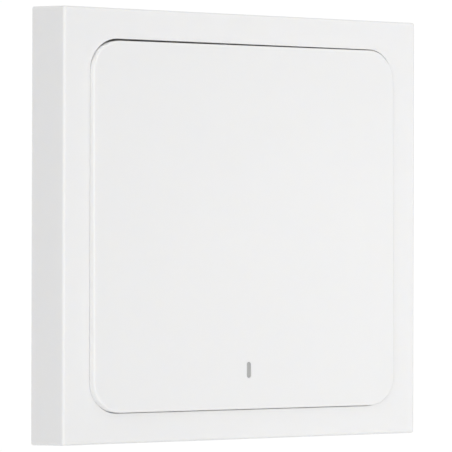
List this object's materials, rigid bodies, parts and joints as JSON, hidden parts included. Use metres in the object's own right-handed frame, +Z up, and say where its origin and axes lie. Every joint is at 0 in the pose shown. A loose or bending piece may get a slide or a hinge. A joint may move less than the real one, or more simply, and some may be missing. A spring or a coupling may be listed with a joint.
{
  "type": "wall light switch",
  "caption": "Slim square wireless wall switch: drafted frame, large top-hinged rocker with a small indicator, and a coin-cell base hung on a hooked wall plate.",
  "frame": {"origin": "middle of the wall face, at the back of the wall plate", "axes": "+Z up, +Y into the wall, so the rocker faces -Y, +X to the right as seen from the room"},
  "size_m": [0.086, 0.013, 0.086],
  "materials": {
    "frame_plastic": "fine matt moulded texture, white",
    "rocker_plastic": "fine matt moulded texture, white",
    "guide_plastic": "smooth grey light guide",
    "plate_plastic": "plain moulded white",
    "foam_pad": "closed-cell foam tape",
    "base_plastic": "plain moulded white",
    "door_plastic": "plain moulded white",
    "cell_steel": "plated steel",
    "seal_plastic": "dark seal",
    "board_laminate": "green lacquered laminate",
    "screw_steel": "zinc plated",
    "spring_steel": "plated spring steel",
    "switch_plastic": "black moulded",
    "cover_steel": "tinned sheet",
    "track_copper": "gilded copper track",
    "chip_ceramic": "ceramic chips",
    "lamp_plastic": "clear resin",
    "soft_rubber": "soft rubber"
  },
  "bodies": {
    "wall_plate": {"wall_plate": "plate_plastic", "adhesive_pads": "foam_pad"},
    "switch_unit": {"front_frame": "frame_plastic", "base_housing": "base_plastic", "battery_can": "cell_steel", "battery_seal": "seal_plastic", "battery_cap": "cell_steel", "circuit_board": "board_laminate", "board_screws": "screw_steel", "contact_negative": "spring_steel", "contact_positive": "spring_steel", "switch_body": "switch_plastic", "switch_cover": "cover_steel", "switch_leads": "cover_steel", "switch_dome": "spring_steel", "radio_board": "board_laminate", "radio_shield": "cover_steel", "radio_antenna": "track_copper", "crystal": "cover_steel", "chip_parts": "chip_ceramic", "indicator_led": "lamp_plastic", "return_springs": "spring_steel", "stop_pads": "soft_rubber"},
    "rocker": {"rocker": "rocker_plastic", "light_guide": "guide_plastic"},
    "plunger": {"switch_plunger": "switch_plastic"},
    "battery_door": {"battery_door": "door_plastic"}
  },
  "joints": [
    {"name": "unit_lift", "type": "slide", "parent": "wall_plate", "child": "switch_unit", "axis": [0, 0, 1], "range_m": [0, 0.00225]},
    {"name": "rocker_press", "type": "hinge", "parent": "switch_unit", "child": "rocker", "pos_m": [0, -0.0084, 0.0315], "axis": [1, 0, 0], "range_deg": [0, 0.403], "stiffness_Nm_per_rad": 0.6, "springref_deg": -2.86, "deforming": ["return_springs"]},
    {"name": "plunger_travel", "type": "slide", "parent": "switch_unit", "child": "plunger", "axis": [0, 1, 0], "range_m": [0, 0.00033], "deforming": ["switch_dome"]},
    {"name": "door_turn", "type": "hinge", "parent": "switch_unit", "child": "battery_door", "pos_m": [0, -0.0025, 0.004], "axis": [0, -1, 0], "range_deg": [0, 40]}
  ],
  "couplings": [
    {"joint": "plunger_travel", "follows": "rocker_press", "m_per_rad": 0.0455}
  ]
}
